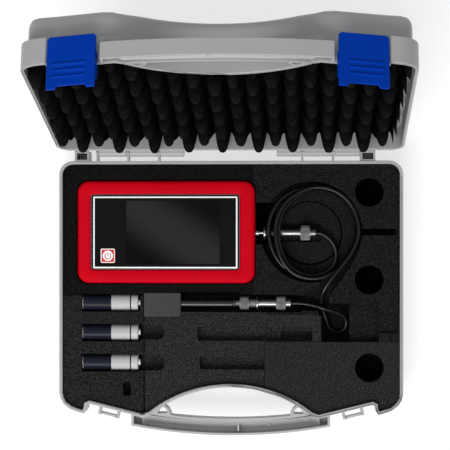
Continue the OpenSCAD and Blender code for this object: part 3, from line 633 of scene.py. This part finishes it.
# ------------------------------------------------------------------ meter
MX, MY = -56.5, 48.7
PROFILE = [(63, 30, 4, 10), (75.6, 42.6, 8.6, 10), (77.0, 44.0, 9.6, 10.5), (77.8, 44.8, 10.2, 11.6), (78, 45, 10.4, 13), (78, 45, 10.4, 32.4), (77.75, 44.75, 10.2, 34.2),
           (77.1, 44.1, 9.7, 35.6), (76.0, 43.0, 9.0, 36.5), (74.3, 41.3, 8.0, 37.0), (69.5, 36.9, 5.4, 36.95), (66.8, 34.4, 4.1, 36.7), (65.7, 33.4, 3.5, 36.2),
           (65.3, 32.95, 3, 35.5), (65.3, 32.95, 3, 34.5), (74.5, 41.5, 7, 34.5), (74.5, 41.5, 7, 12.5), (63, 30, 4, 12.5)]
loops = []
for hx, hy, r, z in PROFILE:
    off = -0.8 * max(0.0, min(1.0, (78 - hx) / 12.5)) if z > 33 else 0.0
    loops.append([(MX + off + x, MY + y, z) for x, y in rr(hx, hy, r)])
verts, faces = loft(loops, closed=True)
boot = put("holster_boot", verts, faces, "holster", "instrument", 50)
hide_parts("holster")
wn = boot.modifiers.new("normals", "WEIGHTED_NORMAL")
wn.keep_sharp = True

overlay = refined("overlay_panel", "overlay_panel", 0.15, 2, 35)
# printed frame on the overlay, and the bright line at the opening
def flat_ring(cx, cy, outer, inner, z0, z1):
    o, i = rr(*outer), rr(*inner)
    return loft([[(cx + x, cy + y, z0) for x, y in o], [(cx + x, cy + y, z1) for x, y in o], [(cx + x, cy + y, z1) for x, y in i], [(cx + x, cy + y, z0) for x, y in i]], closed=True)


verts, faces = flat_ring(-57.2, 48.3, (63.2, 31.4, 1.1), (61.95, 30.15, 0.5), 36.12, 36.26)
put("overlay_line", verts, faces, "print_white", "instrument")
verts, faces = flat_ring(MX - 0.8, MY, (65.08, 32.73, 2.8), (64.72, 32.37, 2.5), 35.9, 36.3)
put("overlay_edge", verts, faces, "bezel_line", "instrument")

# power key with its printed symbol
key = refined("power_key", "power_key", 0.25, 2, 35)
KX, KY = -107.5, 27.9


def disc(cx, cy, r0, r1, z0, z1, a0=0, a1=360, n=48):
    """Flat ring, sector or disc of small thickness."""
    full = abs(a1 - a0) >= 360
    k = n if full else n + 1
    ang = [math.radians(a0 + (a1 - a0) * i / n) for i in range(k)]
    rings = []
    for r, z in ((r0, z0), (r0, z1), (r1, z1), (r1, z0)):
        rings.append([(cx + r * math.cos(a), cy + r * math.sin(a), z) for a in ang])
    verts, faces = [p for ring in rings for p in ring], []
    for i in range(4):
        a, b = i * k, ((i + 1) % 4) * k
        faces += [(a + j, a + (j + 1) % k, b + (j + 1) % k, b + j) for j in range(k if full else k - 1)]
    if not full:
        faces += [(0, k, 2 * k, 3 * k), (k - 1, 4 * k - 1, 3 * k - 1, 2 * k - 1)]
    return verts, faces


verts, faces = flat_ring(KX, KY, (6.15, 6.15, 1.1), (5.45, 5.45, 0.7), 36.95, 37.05)
put("key_border", verts, faces, "print_white", "power_key")
verts, faces = disc(KX, KY, 0.02, 4.5, 36.95, 37.04)
put("key_disc", verts, faces, "print_white", "power_key")
verts, faces = disc(KX, KY - 0.2, 2.2, 2.95, 36.98, 37.09, 125, 415)
put("key_symbol_ring", verts, faces, "print_red", "power_key")
verts, faces = flat_ring(KX, KY + 1.6, (0.38, 1.6, 0.2), (0.05, 1.2, 0.04), 36.98, 37.09)
bar = put("key_symbol_bar", verts, faces, "print_red", "power_key")

# ------------------------------------------------------------------ cable
ROUTE = [(74.2, 48, 27), (79, 47.2, 27), (85, 43.6, 26.8), (90.2, 37, 26.2), (92.2, 28.6, 25.4), (90, 19.8, 24.6), (82, 13, 24.4), (69.4, 10.4, 24.4),
         (55, 15.6, 26.6), (45.6, 28.6, 30.6), (41.8, 48.5, 33.8), (45.8, 66, 32), (57, 79, 29.4), (74.6, 87, 27), (93, 82, 25.8), (106, 67.4, 25),
         (110.4, 49, 25), (105.4, 31, 25.8), (94, 17.4, 27.6), (82, 10.4, 28.8), (68.6, 8.6, 29.2), (53, 13.4, 30), (39, 27.6, 32.2), (33, 50, 33.4),
         (38.4, 69.6, 33.4), (50.4, 82, 32.6), (70.6, 87.9, 31.8), (92.2, 83.3, 31), (106.2, 69, 30.2), (111.2, 49.6, 30), (106, 30.6, 30.6), (94.6, 17, 32),
         (82.4, 9.8, 33), (68.6, 8.2, 33.6), (54.2, 13.2, 34.8), (43.6, 26.8, 36.4), (39.2, 48.7, 36.6), (43.2, 66.4, 36.6), (54.6, 80, 36.2), (74, 87.6, 35.8),
         (93.6, 83, 35.4), (107, 68.6, 35.2), (111.6, 49, 35.6), (106.4, 32.6, 36.2), (97.6, 20, 36.8), (88.4, 8.6, 36.8), (82, -1, 34.8), (79.4, -8, 30.8),
         (79.4, -14.4, 26.4), (80.8, -20.6, 23.2), (83.2, -27.2, 20.8), (85.2, -33.2, 19.8), (88.8, -37.6, 19.4), (93.6, -39.4, 19.2),
         (98.2, -37.6, 19.6), (100.9, -33.4, 20.8), (100.5, -28.3, 22.6), (96.8, -24.3, 25), (90.2, -21.3, 27.4), (79.8, -17.9, 29.6), (68.6, -14.8, 29.6), (60, -13.8, 28.4),
         (52.5, -13.7, 28)]


def smooth_line(points, k):
    p = np.array(points, float)
    n = len(p)
    out = []
    for i in range(n - 1):
        a = 2 * p[0] - p[1] if i == 0 else p[i - 1]
        d = 2 * p[-1] - p[-2] if i == n - 2 else p[i + 2]
        b, c = p[i], p[i + 1]
        for j in range(k):
            t = j / k
            out.append(0.5 * (2 * b + (c - a) * t + (2 * a - 5 * b + 4 * c - d) * t * t + (3 * b - a - 3 * c + d) * t ** 3))
    out.append(p[-1])
    return np.array(out)


line = smooth_line(ROUTE, 8) * MM
cu = bpy.data.curves.new("probe_cable", "CURVE")
cu.dimensions = "3D"
sp = cu.splines.new("POLY")
sp.points.add(len(line) - 1)
sp.points.foreach_set("co", np.hstack([line, np.ones((len(line), 1))]).ravel())
cu.bevel_depth = 0.002
cu.bevel_resolution = 4
cu.use_fill_caps = True
cu.materials.append(M["cable_jacket"])
cable = bpy.data.objects.new("probe_cable", cu)
bpy.context.scene.collection.objects.link(cable)
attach(cable, "instrument")
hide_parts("cable")

# ------------------------------------------------------------------ turned parts, probe and cells
for node, width in (("plug_insulator", 0.25), ("plug_body", 0.25), ("plug_sleeve", 0.15), ("probe_sleeve", 0.3), ("probe_plug_body", 0.3), ("input_jack", 0.2),
                    ("probe_collar", 0.2), ("probe_tube", 0.2), ("probe_head", 0.4), ("probe_head_cover", 0.4), ("cell_can_1", 0.4), ("cell_can_2", 0.4), ("cell_can_3", 0.4)):
    slot_of = {s["node"]: s["material_slot"] for s in frame["record"]["subparts"]}
    refined(node, slot_of[node], width, 2, 40)

# ------------------------------------------------------------------ every other CAD node keeps its shape and takes its material
for s in frame["record"]["subparts"]:
    ob = NODES[s["node"]]
    m = M.get(s["node"], M[s["material_slot"]])
    if len(ob.material_slots) == 0:
        ob.data.materials.append(m)
    else:
        for ms in ob.material_slots:
            ms.material = m

# ------------------------------------------------------------------ stage
fl = bpy.data.meshes.new("floor")
fl.from_pydata([(-3, -3, -0.0003), (3, -3, -0.0003), (3, 3, -0.0003), (-3, 3, -0.0003)], [], [(0, 1, 2, 3)])
fl.materials.append(M["floor"])
floor = bpy.data.objects.new("floor", fl)
bpy.context.scene.collection.objects.link(floor)
floor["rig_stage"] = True

scene = bpy.context.scene
scene.view_settings.view_transform = "Standard"
scene.view_settings.look = "None"
world = bpy.data.worlds.new("studio")
scene.world = world
if hasattr(world, "use_nodes") and not world.use_nodes:
    world.use_nodes = True
bg = next(n for n in world.node_tree.nodes if n.type == "BACKGROUND")
wt = world.node_tree
w_tc = wt.nodes.new("ShaderNodeTexCoord")
w_sep = wt.nodes.new("ShaderNodeSeparateXYZ")
wt.links.new(w_tc.outputs["Generated"], w_sep.inputs[0])
w_ramp = wt.nodes.new("ShaderNodeValToRGB")
w_ramp.color_ramp.elements[0].position = 0.0
w_ramp.color_ramp.elements[0].color = (0.07, 0.07, 0.07, 1)
w_ramp.color_ramp.elements[1].position = 1.0
w_ramp.color_ramp.elements[1].color = (0.82, 0.82, 0.82, 1)
wt.links.new(w_sep.outputs["Z"], w_ramp.inputs[0])
wt.links.new(w_ramp.outputs[0], bg.inputs[0])
bg.inputs[1].default_value = 1.0


def area(name, loc, target, size, power):
    li = bpy.data.lights.new(name, "AREA")
    li.shape = "RECTANGLE"
    li.size, li.size_y = size
    li.energy = power
    ob = bpy.data.objects.new(name, li)
    ob.location = loc
    ob.rotation_euler = (Vector(target) - Vector(loc)).to_track_quat("-Z", "Y").to_euler()
    scene.collection.objects.link(ob)
    return ob


area("key", (-0.35, -1.05, 1.55), (0, 0.05, 0.05), (1.3, 1.0), 32)

cam_data = bpy.data.cameras.new("cam")
cam_data.lens = 135.5
cam_data.sensor_width = 36
cam_data.clip_start = 0.05
cam_data.clip_end = 50
cam = bpy.data.objects.new("cam", cam_data)
cam.location = (0.0648, 0.0548, 1.513)
cam.rotation_euler = (0, math.radians(2.70), 0)
scene.collection.objects.link(cam)
scene.camera = cam


def plain(v):
    if isinstance(v, dict):
        return {k: plain(x) for k, x in v.items()}
    if hasattr(v, "__len__") and not isinstance(v, str):
        return [plain(x) for x in v]
    return v if isinstance(v, (str, int)) else float(v)


{"cad": plain(SIZE_CAD), "visual": plain(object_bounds())}
